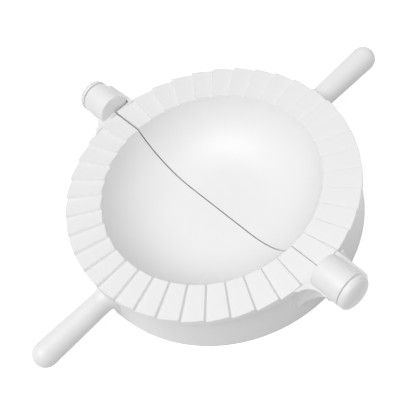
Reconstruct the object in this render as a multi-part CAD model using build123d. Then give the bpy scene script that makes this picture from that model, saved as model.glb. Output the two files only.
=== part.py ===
"""Empanada press: two hinged half bowls with a fluted crimping rim, in moulded plastic.

Frame: millimetres, +Z up, the press lies open on its skirts with Z = 0 at their foot.
The hinge runs along X, and each half reaches out along Y to its own handle.
The base half, on the -Y side, carries a blind sleeve at each end of the hinge. The folding
half, on the +Y side, carries an arm at each end, and a pin pressed through each arm's eye.
"""
import os
from math import sqrt

from build123d import *

# Rim and flutes
RIM_RADIUS = 60.0
RIM_INNER_RADIUS = 45.0
RIM_THICKNESS = 2.8
FLUTES_PER_HALF = 20
FLUTE_HEIGHT = 1.3
FLUTE_STEEP_SHARE = 0.06

# Bowl
BOWL_DEPTH = 19.5
BOWL_FLOOR_RADIUS = 18.0
BOWL_WALL = 2.0
BOWL_CLEARANCE = 2.1
BOWL_EDGE = 0.9

# Skirt that the press stands on
RIM_LIP = 1.1
SKIRT_DRAFT = 0.4
SKIRT_WALL = 2.0
SPLIT_GAP = 0.5
SPLIT_WALL = 2.0
RIB_THICKNESS = 1.6
RIB_CLEARANCE = 6.0
RIB_ANGLES = (28.0, 62.0, 118.0, 152.0)

# Handles
HANDLE_REACH = 96.0
HANDLE_DROP = 9.8
HANDLE_ROOT_RADIUS = 4.8
HANDLE_TIP_RADIUS = 5.4
HANDLE_FLARE = 2.4
HANDLE_FLARE_LENGTH = 3.8

# Hinge
AXIS_RISE = 0.5
SLEEVE_RADIUS = 7.0
SLEEVE_STANDOFF = 4.7
SLEEVE_LENGTH = 9.0
SLEEVE_EDGE = 0.4
SLEEVE_END_WALL = 1.2
RUNNING_GAP = 0.35
SWING_GAP = 0.45
EYE_THICKNESS = 1.6
PIN_RADIUS = 2.5
PIN_RUNNING_CLEARANCE = 0.06
PIN_TIP_GAP = 0.4
PIN_TIP_CHAMFER = 0.5
HEAD_DOME = 2.6

# Web that carries each sleeve
WEB_REACH = 13.5
WEB_HOLLOW = 0.8
WEB_OVERLAP = 5.0
WEB_FOOT_DROP = 13.0
WEB_FOOT_END_DROP = 5.0

# Ear and arm that carry each pin
EAR_GAP = 0.6
EAR_SIDE = 12.0
EAR_FOOT_DROP = 12.0
EAR_FOOT_END_DROP = 9.0
ARM_ROOT_WALL = 1.8
ARM_END_WALL = 1.4

# Everything below follows from the sizes above.
BODY_HEIGHT = BOWL_DEPTH + BOWL_WALL + BOWL_CLEARANCE
RIM_UNDERSIDE = BODY_HEIGHT - RIM_THICKNESS
SKIRT_RADIUS = RIM_RADIUS - RIM_LIP
SKIRT_FOOT_RADIUS = SKIRT_RADIUS + SKIRT_DRAFT
AXIS_HEIGHT = BODY_HEIGHT + AXIS_RISE
BOWL_FLOOR = BODY_HEIGHT - BOWL_DEPTH
BOWL_RUN = RIM_INNER_RADIUS - BOWL_FLOOR_RADIUS
BOWL_CURVE = (BOWL_RUN**2 + BOWL_DEPTH**2) / (2 * BOWL_DEPTH)
SLEEVE_START = RIM_RADIUS + SLEEVE_STANDOFF
SLEEVE_END = SLEEVE_START + SLEEVE_LENGTH
EYE_START = SLEEVE_END + RUNNING_GAP
EYE_END = EYE_START + EYE_THICKNESS
EAR_END = SLEEVE_START - EAR_GAP
ARM_INSIDE = SLEEVE_RADIUS + SWING_GAP
HALF_GAP = SPLIT_GAP / 2
FAR = 4 * RIM_RADIUS

# Share of a quarter circle's radius at which its control points lie
ROUND_CONTROL = 0.5523


def revolved(outline):
    """Turn a closed outline in (radius, height) once round the Z axis."""
    return revolve(Plane.XZ * make_face(outline), Axis.Z, 360)


def beyond(shape, split_distance):
    """Keep what lies on the +Y side, further than a distance from the split."""
    half_space = Box(2 * FAR, FAR, 2 * FAR, align=(Align.CENTER, Align.MIN, Align.CENTER))
    return shape & (Pos(0, split_distance, 0) * half_space)


def quarter_oval(radius, start, end):
    """The curve of a round end, from a radius at one height to the axis at another."""
    reach = start + ROUND_CONTROL * (end - start)
    return Bezier((radius, start), (radius, reach), (ROUND_CONTROL * radius, end), (0, end))


def bowl_arc(wall, top):
    """The curve of the bowl, offset outwards by a wall, from its floor up to a height."""
    centre_height = BOWL_FLOOR + BOWL_CURVE
    radius = BOWL_CURVE + wall
    foot = (BOWL_FLOOR_RADIUS, centre_height - radius)
    end = (BOWL_FLOOR_RADIUS + sqrt(radius**2 - (centre_height - top) ** 2), top)
    return TangentArc(foot, end, tangent=(1, 0)), foot, end


def outer_form():
    """Solid of the skirt and the rim before anything is hollowed out."""
    ridge = BODY_HEIGHT + FLUTE_HEIGHT
    return revolved(
        Polyline(
            (0, 0),
            (SKIRT_FOOT_RADIUS, 0),
            (SKIRT_RADIUS, RIM_UNDERSIDE),
            (RIM_RADIUS, RIM_UNDERSIDE),
            (RIM_RADIUS, ridge),
            (0, ridge),
            close=True,
        )
    )


def bowl_space():
    """The space that the filling lies in: a flat floor, one curve up, and a rounded edge."""
    ridge = BODY_HEIGHT + FLUTE_HEIGHT / 2
    above = BODY_HEIGHT + 2 * FLUTE_HEIGHT
    curve, foot, end = bowl_arc(0, BODY_HEIGHT - BOWL_EDGE)
    edge_end = (RIM_INNER_RADIUS + BOWL_EDGE, ridge)
    edge = Bezier(end, (RIM_INNER_RADIUS, ridge), edge_end)
    rest = Polyline(edge_end, (edge_end[0], above), (0, above), (0, foot[1]), foot)
    return revolved(curve + edge + rest)


def underside_space():
    """The hollow under the bowl, inside the skirt and the wall along the split, less ribs."""
    curve, foot, end = bowl_arc(BOWL_WALL, RIM_UNDERSIDE)
    rest = Polyline(
        end,
        (SKIRT_RADIUS - SKIRT_WALL, RIM_UNDERSIDE),
        (SKIRT_FOOT_RADIUS - SKIRT_WALL, 0),
        (0, 0),
        (0, foot[1]),
        foot,
    )
    space = beyond(revolved(curve + rest), HALF_GAP + SPLIT_WALL)
    align_rib = (Align.MIN, Align.CENTER, Align.MIN)
    for angle in RIB_ANGLES:
        rib = Box(RIM_RADIUS, RIB_THICKNESS, BODY_HEIGHT, align=align_rib)
        space -= Rot(Z=angle) * (Pos(0, 0, RIB_CLEARANCE) * rib)
    return space


def flute_cutter():
    """Everything above the sawtooth top of the rim, as one fan round the centre.

    Seen from above each flute rises anticlockwise in one flat ramp, then drops in a short
    steep face. All the faces pass through the centre, so a flute is highest at the rim's edge.
    The steep faces are centred on the pitch marks, so the two rims interlock when closed.
    """
    reach = RIM_RADIUS + SLEEVE_RADIUS
    swing = FLUTE_HEIGHT / 2 * reach / RIM_RADIUS
    pitch = 180 / FLUTES_PER_HALF
    half_steep = FLUTE_STEEP_SHARE * pitch / 2
    marks = [(0.0, 0.0)]
    for flute in range(FLUTES_PER_HALF):
        marks.append((flute * pitch + half_steep, -swing))
        marks.append(((flute + 1) * pitch - half_steep, swing))
    marks.append((180.0, 0.0))

    low = [Vector(reach, 0, BODY_HEIGHT + height).rotate(Axis.Z, angle) for angle, height in marks]
    high = [Vector(point.X, point.Y, BODY_HEIGHT + 2 * FLUTE_HEIGHT) for point in low]
    centre = Vector(0, 0, BODY_HEIGHT)
    centre_top = Vector(0, 0, BODY_HEIGHT + 2 * FLUTE_HEIGHT)

    def flat(*points):
        return make_face(Polyline(*points, close=True)).face()

    faces = []
    for left, right, left_top, right_top in zip(low, low[1:], high, high[1:]):
        faces.append(flat(centre, left, right))
        faces.append(flat(left, right, right_top, left_top))
    faces.append(flat(centre, low[0], high[0], centre_top))
    faces.append(flat(centre, low[-1], high[-1], centre_top))
    faces.append(flat(centre_top, *high))
    return Solid(Shell(faces))


def handle():
    """Round grip along +Y: a flare out of the skirt, a slight swell and a round end."""
    root = SKIRT_RADIUS - SKIRT_WALL / 2
    flare_end = SKIRT_RADIUS + HANDLE_FLARE_LENGTH
    round_start = HANDLE_REACH - HANDLE_TIP_RADIUS
    flare_radius = HANDLE_ROOT_RADIUS + HANDLE_FLARE
    flare_corner = (HANDLE_ROOT_RADIUS, SKIRT_RADIUS)
    flare = Bezier((HANDLE_ROOT_RADIUS, flare_end), flare_corner, (flare_radius, SKIRT_RADIUS))
    grip = Line((HANDLE_TIP_RADIUS, round_start), (HANDLE_ROOT_RADIUS, flare_end))
    tip = quarter_oval(HANDLE_TIP_RADIUS, round_start, HANDLE_REACH)
    back = Polyline((flare_radius, SKIRT_RADIUS), (flare_radius, root), (0, root), (0, HANDLE_REACH))
    along_z = revolved(tip + grip + flare + back)
    return Pos(0, 0, BODY_HEIGHT - HANDLE_DROP) * Rot(X=-90) * along_z


def plain_half():
    """One half as both share it, on the +Y side: skirt, bowl, fluted rim and handle."""
    form = outer_form() - bowl_space() - underside_space()
    return beyond(form, HALF_GAP) - flute_cutter() + handle()


def along_hinge(radius, start, end):
    """A solid cylinder on the hinge axis between two places along +X."""
    lying = Rot(Y=90) * Cylinder(radius, end - start, align=(Align.CENTER, Align.CENTER, Align.MIN))
    return Pos(start, 0, AXIS_HEIGHT) * lying


def outside_body(shape):
    """Trim what would reach through the skirt into the hollow, or up through the flutes."""
    core = Cylinder(SKIRT_RADIUS - SKIRT_WALL / 2, 2 * FAR)
    above = (Align.CENTER, Align.CENTER, Align.MIN)
    rim = Pos(0, 0, RIM_UNDERSIDE + RIM_THICKNESS / 2) * Cylinder(RIM_RADIUS - HALF_GAP, FAR, align=above)
    return shape - core - rim


def web():
    """The web from the rim to the +X sleeve: level with the rim, hollow-edged, sloping below."""
    root = SKIRT_RADIUS - WEB_REACH
    end = SLEEVE_START + WEB_OVERLAP
    inner = SLEEVE_START + SLEEVE_EDGE
    rim_end = (sqrt(RIM_RADIUS**2 - WEB_REACH**2), -WEB_REACH)
    sleeve_end = (end, -SLEEVE_RADIUS)
    edge = SagittaArc(rim_end, sleeve_end, WEB_HOLLOW)
    rest = Polyline(
        sleeve_end,
        (end, -SLEEVE_RADIUS / 2),
        (inner, -SLEEVE_RADIUS / 2),
        (inner, -HALF_GAP),
        (root, -HALF_GAP),
        (root, -WEB_REACH),
        rim_end,
    )
    side = Polyline(
        (root, BODY_HEIGHT),
        (end, BODY_HEIGHT),
        (end, AXIS_HEIGHT - WEB_FOOT_END_DROP),
        (SKIRT_RADIUS, AXIS_HEIGHT - WEB_FOOT_DROP),
        (root, AXIS_HEIGHT - WEB_FOOT_DROP),
        close=True,
    )
    plan = extrude(make_face(edge + rest), BODY_HEIGHT)
    return outside_body(plan & extrude(Plane.XZ * make_face(side), WEB_REACH))


def sleeve():
    """The +X knuckle of the base half: a sleeve, blind on the side of the rim, on its web."""
    barrel = along_hinge(SLEEVE_RADIUS, SLEEVE_START, SLEEVE_END)
    barrel = chamfer(barrel.edges().filter_by(GeomType.CIRCLE), SLEEVE_EDGE)
    bore = along_hinge(PIN_RADIUS + PIN_RUNNING_CLEARANCE, SLEEVE_START + SLEEVE_END_WALL, EYE_END)
    return web() + barrel - bore


def ear():
    """The +X ear of the folding half: the rim carried out to the sleeve, over a wider gusset."""
    root = SKIRT_RADIUS - EAR_SIDE
    foot = AXIS_HEIGHT - EAR_FOOT_DROP
    end_foot = AXIS_HEIGHT - EAR_FOOT_END_DROP
    lower = ((EAR_END, end_foot), (SKIRT_RADIUS, foot), (root, foot))
    slab = Polyline((root, BODY_HEIGHT), (EAR_END, BODY_HEIGHT), *lower, close=True)
    gusset = Polyline((root, RIM_UNDERSIDE), (RIM_RADIUS, RIM_UNDERSIDE), *lower, close=True)
    return beside_split(slab, ARM_INSIDE + ARM_ROOT_WALL) + beside_split(gusset, EAR_SIDE)


def beside_split(outline, side):
    """An outline in (x, z) made solid, from the split out to a distance along +Y."""
    face = Pos(0, side, 0) * (Plane.XZ * make_face(outline))
    return extrude(face, side - HALF_GAP)


def arm():
    """The +X arm of the folding half: a quarter shell round the sleeve, from ear to eye."""
    root = SKIRT_RADIUS - SKIRT_WALL
    taper = Polyline(
        (0, root),
        (ARM_INSIDE + ARM_ROOT_WALL, root),
        (ARM_INSIDE + ARM_ROOT_WALL, EAR_END),
        (ARM_INSIDE + ARM_END_WALL, EYE_START),
        (SLEEVE_RADIUS, EYE_END),
        (0, EYE_END),
        close=True,
    )
    cone = Pos(0, 0, AXIS_HEIGHT) * Rot(Y=90) * revolved(taper)
    quarter = Box(FAR, FAR, FAR, align=(Align.CENTER, Align.MIN, Align.MAX))
    shell = cone & (Pos(0, HALF_GAP, BODY_HEIGHT) * quarter)
    swing_space = along_hinge(ARM_INSIDE, EAR_END, EYE_START)
    eye = along_hinge(SLEEVE_RADIUS, EYE_START, EYE_END)
    pin_hole = along_hinge(PIN_RADIUS, EYE_START, EYE_END)
    return outside_body(ear() + shell - swing_space) + eye - pin_hole


def hinge_pin():
    """The +X pin: a shank pressed through the eye into the sleeve, under a domed head."""
    tip = SLEEVE_START + SLEEVE_END_WALL + PIN_TIP_GAP
    head_end = EYE_END + HEAD_DOME
    outline = Polyline(
        (0, head_end),
        (0, tip),
        (PIN_RADIUS - PIN_TIP_CHAMFER, tip),
        (PIN_RADIUS, tip + PIN_TIP_CHAMFER),
        (PIN_RADIUS, EYE_END),
        (SLEEVE_RADIUS, EYE_END),
    )
    dome = quarter_oval(SLEEVE_RADIUS, EYE_END, head_end)
    return Pos(0, 0, AXIS_HEIGHT) * Rot(Y=90) * revolved(outline + dome)


def both_ends(shape):
    """A hinge feature at the +X end and its mirror image at the -X end."""
    return shape + mirror(shape, Plane.YZ)


def build_parts():
    """Make every piece of the press, open flat on the table."""
    half = plain_half()
    pin = hinge_pin()
    return {
        "base_half": Rot(Z=180) * half + both_ends(sleeve()),
        "folding_half": half + both_ends(arm()),
        "hinge_pin_right": pin,
        "hinge_pin_left": mirror(pin, Plane.YZ),
    }


os.makedirs("parts", exist_ok=True)
for node, shape in build_parts().items():
    export_step(shape, f"parts/{node}.step")
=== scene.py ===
from math import cos, radians, sin

import bmesh
import bpy
import numpy as np
from mathutils import Matrix, Vector


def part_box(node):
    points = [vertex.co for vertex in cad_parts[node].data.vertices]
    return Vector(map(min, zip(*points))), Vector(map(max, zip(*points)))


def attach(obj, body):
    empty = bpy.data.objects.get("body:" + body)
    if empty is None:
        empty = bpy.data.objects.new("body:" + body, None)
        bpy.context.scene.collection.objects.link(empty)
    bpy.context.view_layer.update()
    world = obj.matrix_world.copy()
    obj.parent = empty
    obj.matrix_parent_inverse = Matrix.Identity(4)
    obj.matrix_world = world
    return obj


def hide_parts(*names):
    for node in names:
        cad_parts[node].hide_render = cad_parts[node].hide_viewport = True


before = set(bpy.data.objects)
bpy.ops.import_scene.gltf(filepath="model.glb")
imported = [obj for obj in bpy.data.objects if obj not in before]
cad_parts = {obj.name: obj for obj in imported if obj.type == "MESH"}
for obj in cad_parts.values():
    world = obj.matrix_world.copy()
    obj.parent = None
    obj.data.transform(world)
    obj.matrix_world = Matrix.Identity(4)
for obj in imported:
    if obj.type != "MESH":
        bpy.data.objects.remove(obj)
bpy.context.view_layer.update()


# Base half. One moulding of white polypropylene: half bowl, fluted rim, skirt, handle, and a web
# at each end of the hinge, hollowed outside. The steel of the mould was fine blasted, so the
# plastic comes out satin, with a faint grain, and a little milkier where the melt cooled last.
base_tones = ((0.85, 0.85, 0.85, 1), (0.87, 0.87, 0.87, 1))
base_roughness = (0.33, 0.40)
base_grain_depth = 0.00003
polypropylene_ior = 1.49
moulded_edge_radius = 0.00035
web_hollow_place = (0.0647, -0.0110, 0.0170)
web_hollow_reach = (0.0076, 0.0049, 0.0085)
web_hollow_turn = radians(30)
hollow_steps = 48
crease_angle = radians(28)
micron = 0.000001
same_plane_cosine = 0.999
hinge_ends = ((1, "right"), (-1, "left"))


def mould_grain_group():
    """The blasted surface of the mould: fine even pits, plus a very low ripple of shrinkage."""
    pit_size = 0.00022
    pit_detail = 1.0
    ripple_size = 0.009
    ripple_detail = 0.0
    ripple_share = 0.35
    group = bpy.data.node_groups.new("mould_grain", "ShaderNodeTree")
    group.interface.new_socket("Place", in_out="INPUT", socket_type="NodeSocketVector")
    group.interface.new_socket("Height", in_out="OUTPUT", socket_type="NodeSocketFloat")
    entry = group.nodes.new("NodeGroupInput")
    leave = group.nodes.new("NodeGroupOutput")
    pits = group.nodes.new("ShaderNodeTexNoise")
    pits.inputs["Scale"].default_value = 1 / pit_size
    pits.inputs["Detail"].default_value = pit_detail
    ripple = group.nodes.new("ShaderNodeTexNoise")
    ripple.inputs["Scale"].default_value = 1 / ripple_size
    ripple.inputs["Detail"].default_value = ripple_detail
    both = group.nodes.new("ShaderNodeMath")
    both.operation = "MULTIPLY_ADD"
    both.inputs[1].default_value = ripple_share
    group.links.new(entry.outputs["Place"], pits.inputs["Vector"])
    group.links.new(entry.outputs["Place"], ripple.inputs["Vector"])
    group.links.new(ripple.outputs["Fac"], both.inputs[0])
    group.links.new(pits.outputs["Fac"], both.inputs[2])
    group.links.new(both.outputs["Value"], leave.inputs["Height"])
    return group


def melt_flow_group():
    """Where the melt cooled last: soft clouds some centimetres wide, from 0 to 1."""
    cloud_size = 0.045
    cloud_detail = 2.0
    lowest_noise = 0.2
    highest_noise = 0.8
    group = bpy.data.node_groups.new("melt_flow", "ShaderNodeTree")
    group.interface.new_socket("Place", in_out="INPUT", socket_type="NodeSocketVector")
    group.interface.new_socket("Cloud", in_out="OUTPUT", socket_type="NodeSocketFloat")
    entry = group.nodes.new("NodeGroupInput")
    leave = group.nodes.new("NodeGroupOutput")
    clouds = group.nodes.new("ShaderNodeTexNoise")
    clouds.inputs["Scale"].default_value = 1 / cloud_size
    clouds.inputs["Detail"].default_value = cloud_detail
    spread = group.nodes.new("ShaderNodeMapRange")
    spread.inputs["From Min"].default_value = lowest_noise
    spread.inputs["From Max"].default_value = highest_noise
    group.links.new(entry.outputs["Place"], clouds.inputs["Vector"])
    group.links.new(clouds.outputs["Fac"], spread.inputs["Value"])
    group.links.new(spread.outputs["Result"], leave.inputs["Cloud"])
    return group


mould_grain = mould_grain_group()
melt_flow = melt_flow_group()


def moulded_plastic(name, tones, roughness, grain_depth):
    """Satin plastic: tone and roughness follow the melt, and edges are as soft as moulded."""
    material = bpy.data.materials.new(name)
    material.use_nodes = True
    nodes = material.node_tree.nodes
    links = material.node_tree.links
    shader = nodes["Principled BSDF"]
    shader.inputs["IOR"].default_value = polypropylene_ior
    place = nodes.new("ShaderNodeTexCoord")

    flow = nodes.new("ShaderNodeGroup")
    flow.node_tree = melt_flow
    links.new(place.outputs["Object"], flow.inputs["Place"])
    tone = nodes.new("ShaderNodeMix")
    tone.data_type = "RGBA"
    tone.inputs["A"].default_value, tone.inputs["B"].default_value = tones
    links.new(flow.outputs["Cloud"], tone.inputs["Factor"])
    links.new(tone.outputs["Result"], shader.inputs["Base Color"])
    gloss = nodes.new("ShaderNodeMapRange")
    gloss.inputs["To Min"].default_value, gloss.inputs["To Max"].default_value = roughness
    links.new(flow.outputs["Cloud"], gloss.inputs["Value"])
    links.new(gloss.outputs["Result"], shader.inputs["Roughness"])

    grain = nodes.new("ShaderNodeGroup")
    grain.node_tree = mould_grain
    links.new(place.outputs["Object"], grain.inputs["Place"])
    soft_edge = nodes.new("ShaderNodeBevel")
    soft_edge.inputs["Radius"].default_value = moulded_edge_radius
    bump = nodes.new("ShaderNodeBump")
    bump.inputs["Distance"].default_value = grain_depth
    links.new(grain.outputs["Height"], bump.inputs["Height"])
    links.new(soft_edge.outputs["Normal"], bump.inputs["Normal"])
    links.new(bump.outputs["Normal"], shader.inputs["Normal"])
    return material


def dress(piece, material):
    """Give a piece one material, in place of any that it has."""
    piece.data.materials.clear()
    piece.data.materials.append(material)


def closed_by_poles(name, rings, poles):
    """A closed surface: each ring of points joined to the next, and a pole fanned to each end."""
    here = np.arange(rings.shape[0] * rings.shape[1]).reshape(rings.shape[:2])
    beside = np.roll(here, -1, axis=1)
    quads = np.stack((here[:-1], beside[:-1], beside[1:], here[1:]), axis=-1).reshape(-1, 4)
    first, last = np.full_like(here[0], here.size), np.full_like(here[0], here.size + 1)
    first_fan = np.stack((first, beside[0], here[0]), axis=-1)
    last_fan = np.stack((last, here[-1], beside[-1]), axis=-1)
    points = np.concatenate((rings.reshape(-1, 3), poles))
    mesh = bpy.data.meshes.new(name)
    mesh.from_pydata(points.tolist(), [], quads.tolist() + first_fan.tolist() + last_fan.tolist())
    mesh.shade_smooth()
    mesh.set_sharp_from_angle(angle=crease_angle)
    piece = bpy.data.objects.new(name, mesh)
    bpy.context.scene.collection.objects.link(piece)
    return piece


def web_hollow(side):
    """The ellipsoid that hollows out one web, with its poles below and above.

    A ball's x and y are the sine of the rise times the cosine and sine of the turn, and its z
    is minus the cosine of the rise. It is stretched by the reach each way, turned about Z to
    lie along the web, and moved to its place. At the -X end place and turn are mirrored.
    """
    rise = np.linspace(0, np.pi, hollow_steps // 2 + 1)[:, None]
    turn = np.linspace(0, 2 * np.pi, hollow_steps, endpoint=False)
    across = np.sin(rise) * np.cos(turn)
    along = np.sin(rise) * np.sin(turn)
    ball = np.stack(np.broadcast_arrays(across, along, -np.cos(rise)), axis=-1)
    cosine = cos(side * web_hollow_turn)
    sine = sin(side * web_hollow_turn)
    turned = np.array([(cosine, sine, 0), (-sine, cosine, 0), (0, 0, 1)])
    placed = ball * web_hollow_reach @ turned + np.array(web_hollow_place) * (side, 1, 1)
    return closed_by_poles("web_hollow", placed[1:-1], placed[[0, -1], 0])


def face_corners(mesh):
    """Of each corner of each face: its place in whole microns, its face's normal, its shading."""
    vertex_of = np.empty(len(mesh.loops), int)
    places = np.empty(3 * len(mesh.vertices))
    sizes = np.empty(len(mesh.polygons), int)
    normals = np.empty(3 * len(mesh.polygons))
    shading = np.empty(3 * len(mesh.loops))
    mesh.loops.foreach_get("vertex_index", vertex_of)
    mesh.vertices.foreach_get("co", places)
    mesh.polygons.foreach_get("loop_total", sizes)
    mesh.polygons.foreach_get("normal", normals)
    mesh.corner_normals.foreach_get("vector", shading)
    microns = np.round(places.reshape(-1, 3) / micron).astype(int)[vertex_of]
    return microns, normals.reshape(-1, 3).repeat(sizes, axis=0), shading.reshape(-1, 3)


def keep_shading(mesh, moulded):
    """Give each corner the shading of the moulded mesh's corner in its place and its plane.

    Corners in the same place get the same number. Every such pair is compared, and the pair
    whose face normals agree best counts. A corner with none in its plane keeps its own shading.
    """
    microns, normals, shading = face_corners(mesh)
    old_microns, old_normals, old_shading = face_corners(moulded)
    both = np.concatenate((microns, old_microns))
    number = np.unique(both, axis=0, return_inverse=True)[1].reshape(-1)
    mine, theirs = number[: len(microns)], number[len(microns) :]
    order = np.argsort(theirs, kind="stable")
    start = np.searchsorted(theirs[order], mine, "left")
    count = np.searchsorted(theirs[order], mine, "right") - start
    corner = np.arange(len(mine)).repeat(count)
    step = np.arange(count.sum()) - (count.cumsum() - count).repeat(count)
    partner = order[start.repeat(count) + step]
    agreement = (normals[corner] * old_normals[partner]).sum(axis=1)
    ranked = np.lexsort((agreement, corner))
    best = ranked[count.cumsum()[count > 0] - 1]
    same_plane = best[agreement[best] > same_plane_cosine]
    shading[corner[same_plane]] = old_shading[partner[same_plane]]
    mesh.normals_split_custom_set(shading.tolist())


def cut_copy(node_name, piece_name, cutters):
    """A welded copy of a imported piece, cut by closed forms, that keeps the moulded shading."""
    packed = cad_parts[node_name].data
    welded = bmesh.new()
    welded.from_mesh(packed)
    bmesh.ops.remove_doubles(welded, verts=welded.verts, dist=micron)
    mesh = bpy.data.meshes.new(piece_name)
    welded.to_mesh(mesh)
    welded.free()
    piece = bpy.data.objects.new(piece_name, mesh)
    bpy.context.scene.collection.objects.link(piece)
    for cutter in cutters:
        cut = piece.modifiers.new(cutter.name, "BOOLEAN")
        cut.operation = "DIFFERENCE"
        cut.solver = "EXACT"
        cut.object = cutter
        evaluated = piece.evaluated_get(bpy.context.evaluated_depsgraph_get())
        cut_mesh = bpy.data.meshes.new_from_object(evaluated)
        piece.modifiers.clear()
        piece.data = cut_mesh
        bpy.data.objects.remove(cutter)
    piece.data.shade_smooth()
    piece.data.set_sharp_from_angle(angle=crease_angle)
    keep_shading(piece.data, packed)
    return piece


base_plastic = moulded_plastic("base_plastic", base_tones, base_roughness, base_grain_depth)
web_hollows = [web_hollow(side) for side, end_name in hinge_ends]
base_body = cut_copy("base_half", "base_half_body", web_hollows)
dress(base_body, base_plastic)
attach(base_body, "base")
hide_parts("base_half")


# Hinge sleeves. Moulded with the base half in the same plastic, one on each web: a blind barrel
# that starts close outside the rim, has rounded ends, and takes the pin from the arm's eye.
rim_radius = 0.060
sleeve_standoff = 0.0010
sleeve_skin = 0.00003
sleeve_edge = 0.0005
bore_clearance = 0.00005
edge_steps = 6
barrel_steps = 96

pin_low, pin_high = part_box("hinge_pin_right")
head_radius = (pin_high.y - pin_low.y) / 2
pin_radius = 0.0025
axis_height = (pin_low.z + pin_high.z) / 2
sleeve_radius = head_radius + sleeve_skin
sleeve_start = rim_radius + sleeve_standoff
sleeve_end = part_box("base_half")[1].x + sleeve_skin
bore_radius = pin_radius + bore_clearance
bore_start = pin_low.x - bore_clearance


def quarter_round(corner, inward, steps):
    """Points on a quarter circle that rounds a corner of a profile, from one side to the other.

    The circle's centre lies one radius from the corner each way, and the angle runs evenly.
    """
    angles = np.linspace(0, np.pi / 2, steps)
    centre = np.array(corner) + np.array(inward)
    return centre - np.array(inward) * np.stack((np.cos(angles), np.sin(angles)), axis=-1)


def turned_about_hinge(name, profile, side):
    """A closed surface of revolution about the hinge line, from (place, radius) points.

    Each point is carried round at even angles: y is radius times cosine, z is radius times
    sine above the hinge line. The first and last point lie on the line and become poles.
    The -X end is the same form turned half round about Z, so its faces keep their direction.
    """
    places, radii = np.array(profile).T
    angles = np.linspace(0, 2 * np.pi, barrel_steps, endpoint=False)
    across = radii[1:-1, None] * np.cos(angles)
    upward = radii[1:-1, None] * np.sin(angles)
    rings = np.stack(np.broadcast_arrays(places[1:-1, None], across, upward), axis=-1)
    poles = np.array([(places[0], 0, 0), (places[-1], 0, 0)])
    turned, raised = (side, side, 1), (0, 0, axis_height)
    return closed_by_poles(name, rings * turned + raised, poles * turned + raised)


inner_edge = quarter_round((sleeve_start, sleeve_radius), (sleeve_edge, -sleeve_edge), edge_steps)
outer_edge = quarter_round((sleeve_end, sleeve_radius), (-sleeve_edge, -sleeve_edge), edge_steps)
sleeve_profile = np.concatenate(
    (
        [(sleeve_start, 0)],
        inner_edge,
        outer_edge[::-1],
        [(sleeve_end, bore_radius), (bore_start, bore_radius), (bore_start, 0)],
    )
)
for side, end_name in hinge_ends:
    sleeve = turned_about_hinge(f"hinge_sleeve_{end_name}", sleeve_profile, side)
    dress(sleeve, base_plastic)
    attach(sleeve, "base")


# Folding half. The second moulding, from a mould of its own in the same plastic: half bowl,
# fluted rim, skirt, handle, and the two arms that reach round the sleeves to the pins. Beside
# each sleeve it is cut away in a round channel, so that it swings clear of the whole barrel.
folding_tones = ((0.85, 0.85, 0.85, 1), (0.87, 0.87, 0.87, 1))
folding_roughness = (0.34, 0.41)
folding_grain_depth = 0.00003
swing_clearance = 0.00041
channel_rim_gap = 0.0003
channel_length = 0.0040

channel_start = rim_radius + channel_rim_gap
channel_end = channel_start + channel_length
channel_radius = sleeve_radius + swing_clearance
channel_profile = (
    (channel_start, 0),
    (channel_start, channel_radius),
    (channel_end, channel_radius),
    (channel_end, 0),
)

folding_plastic = moulded_plastic(
    "folding_plastic", folding_tones, folding_roughness, folding_grain_depth
)
channels = [
    turned_about_hinge(f"swing_channel_{end_name}", channel_profile, side)
    for side, end_name in hinge_ends
]
folding_body = cut_copy("folding_half", "folding_half_body", channels)
dress(folding_body, folding_plastic)
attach(folding_body, "folding")
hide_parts("folding_half")


# Hinge pins. Two small mouldings of the same white plastic, pressed through the arms' eyes. Their
# domed heads come out of a polished mould, so they are a little glossier than the halves.
pin_tones = ((0.82, 0.82, 0.82, 1), (0.84, 0.84, 0.84, 1))
pin_roughness = (0.24, 0.32)
pin_grain_depth = 0.00001

pin_plastic = moulded_plastic("pin_plastic", pin_tones, pin_roughness, pin_grain_depth)
for side, end_name in hinge_ends:
    dress(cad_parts[f"hinge_pin_{end_name}"], pin_plastic)


# Floor. A wide matt sheet, middling pale for the light that it throws back, and near white to
# the eye. It keeps the soft shadow of the press.
floor_size = 6.0
floor_colour = (0.5, 0.5, 0.5, 1)
seen_floor_colour = (0.96, 0.96, 0.96, 1)
seen_floor_glow = 0.55
floor_roughness = 0.9


def seen_or_mirrored(node_tree):
    """One for a ray from the eye or off a glossy surface, and nought for any other."""
    ray = node_tree.nodes.new("ShaderNodeLightPath")
    either = node_tree.nodes.new("ShaderNodeMath")
    either.operation = "MAXIMUM"
    node_tree.links.new(ray.outputs["Is Camera Ray"], either.inputs[0])
    node_tree.links.new(ray.outputs["Is Glossy Ray"], either.inputs[1])
    return either.outputs["Value"]


floor_corners = np.array([(-1, -1, 0), (1, -1, 0), (1, 1, 0), (-1, 1, 0)]) * floor_size / 2
floor_mesh = bpy.data.meshes.new("floor")
floor_mesh.from_pydata(floor_corners.tolist(), [], [(0, 1, 2, 3)])
floor = bpy.data.objects.new("floor", floor_mesh)
bpy.context.scene.collection.objects.link(floor)

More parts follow.
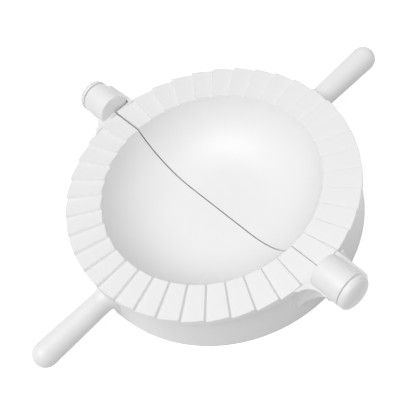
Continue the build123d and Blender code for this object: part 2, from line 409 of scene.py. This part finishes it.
floor_material = bpy.data.materials.new("pale_floor")
floor_material.use_nodes = True
floor_nodes = floor_material.node_tree.nodes
floor_links = floor_material.node_tree.links
floor_shader = floor_nodes["Principled BSDF"]
floor_shader.inputs["Roughness"].default_value = floor_roughness
floor_shader.inputs["Specular IOR Level"].default_value = 0.0
floor_shader.inputs["Emission Color"].default_value = (1, 1, 1, 1)
floor_seen = seen_or_mirrored(floor_material.node_tree)
floor_tone = floor_nodes.new("ShaderNodeMix")
floor_tone.data_type = "RGBA"
floor_tone.inputs["A"].default_value = floor_colour
floor_tone.inputs["B"].default_value = seen_floor_colour
floor_glow = floor_nodes.new("ShaderNodeMath")
floor_glow.operation = "MULTIPLY"
floor_glow.inputs[1].default_value = seen_floor_glow
floor_links.new(floor_seen, floor_tone.inputs["Factor"])
floor_links.new(floor_seen, floor_glow.inputs[0])
floor_links.new(floor_tone.outputs["Result"], floor_shader.inputs["Base Color"])
floor_links.new(floor_glow.outputs["Value"], floor_shader.inputs["Emission Strength"])
dress(floor, floor_material)


# Light. A pale sky, white where it is seen or mirrored, and two broad lamps. The key lamp stands
# high over the base handle and the fill lamp beside the folding half. Both are aimed at the
# middle of the press, from a turn about Z and a height over the floor.
sky_strength = 0.47
seen_sky_strength = 1.0
lamp_distance = 1.4
lamps = {
    "key": {"turn": 268, "height": 66, "size": 1.0, "power": 11.2},
    "fill": {"turn": 60, "height": 40, "size": 0.6, "power": 1.0},
}

sky = bpy.data.worlds.new("sky")
sky.use_nodes = True
sky_nodes = sky.node_tree.nodes
sky_links = sky.node_tree.links
sky_nodes["Background"].inputs["Color"].default_value = (1, 1, 1, 1)
sky_level = sky_nodes.new("ShaderNodeMapRange")
sky_level.inputs["To Min"].default_value = sky_strength
sky_level.inputs["To Max"].default_value = seen_sky_strength
sky_links.new(seen_or_mirrored(sky.node_tree), sky_level.inputs["Value"])
sky_links.new(sky_level.outputs["Result"], sky_nodes["Background"].inputs["Strength"])
bpy.context.scene.world = sky

for lamp_name, lamp in lamps.items():
    turn = radians(lamp["turn"])
    height = radians(lamp["height"])
    toward = Vector((cos(turn) * cos(height), sin(turn) * cos(height), sin(height)))
    light = bpy.data.lights.new(lamp_name, "AREA")
    light.energy = lamp["power"]
    light.size = lamp["size"]
    holder = bpy.data.objects.new(lamp_name, light)
    holder.location = toward * lamp_distance
    holder.rotation_euler = toward.to_track_quat("Z", "Y").to_euler()
    bpy.context.scene.collection.objects.link(holder)


# Camera. A longer lens, high beside the hinge's +X end, turned so that the hinge falls from the
# upper left to the lower right. It aims at the middle, at rim height, a little towards the base
# handle.
camera_turn = radians(65.0)
camera_height = radians(54.78)
camera_roll = radians(-22.13)
camera_distance = 0.3289
camera_lens = 73.19
camera_near_clip = 0.01
camera_aim = Vector((0.00773, -0.00827, 0.0236))

level_back = Vector((sin(camera_turn), -cos(camera_turn), 0))
back = level_back * cos(camera_height) + Vector((0, 0, sin(camera_height)))
level_right = Vector((0, 0, 1)).cross(back).normalized()
level_up = back.cross(level_right)
right = level_right * cos(camera_roll) + level_up * sin(camera_roll)
up = level_up * cos(camera_roll) - level_right * sin(camera_roll)

camera = bpy.data.objects.new("camera", bpy.data.cameras.new("camera"))
camera.data.lens = camera_lens
camera.data.clip_start = camera_near_clip
turned = Matrix((right, up, back)).transposed().to_4x4()
camera.matrix_world = Matrix.Translation(camera_aim + back * camera_distance) @ turned
bpy.context.scene.collection.objects.link(camera)
bpy.context.scene.camera = camera
bpy.context.scene.view_settings.view_transform = "Standard"
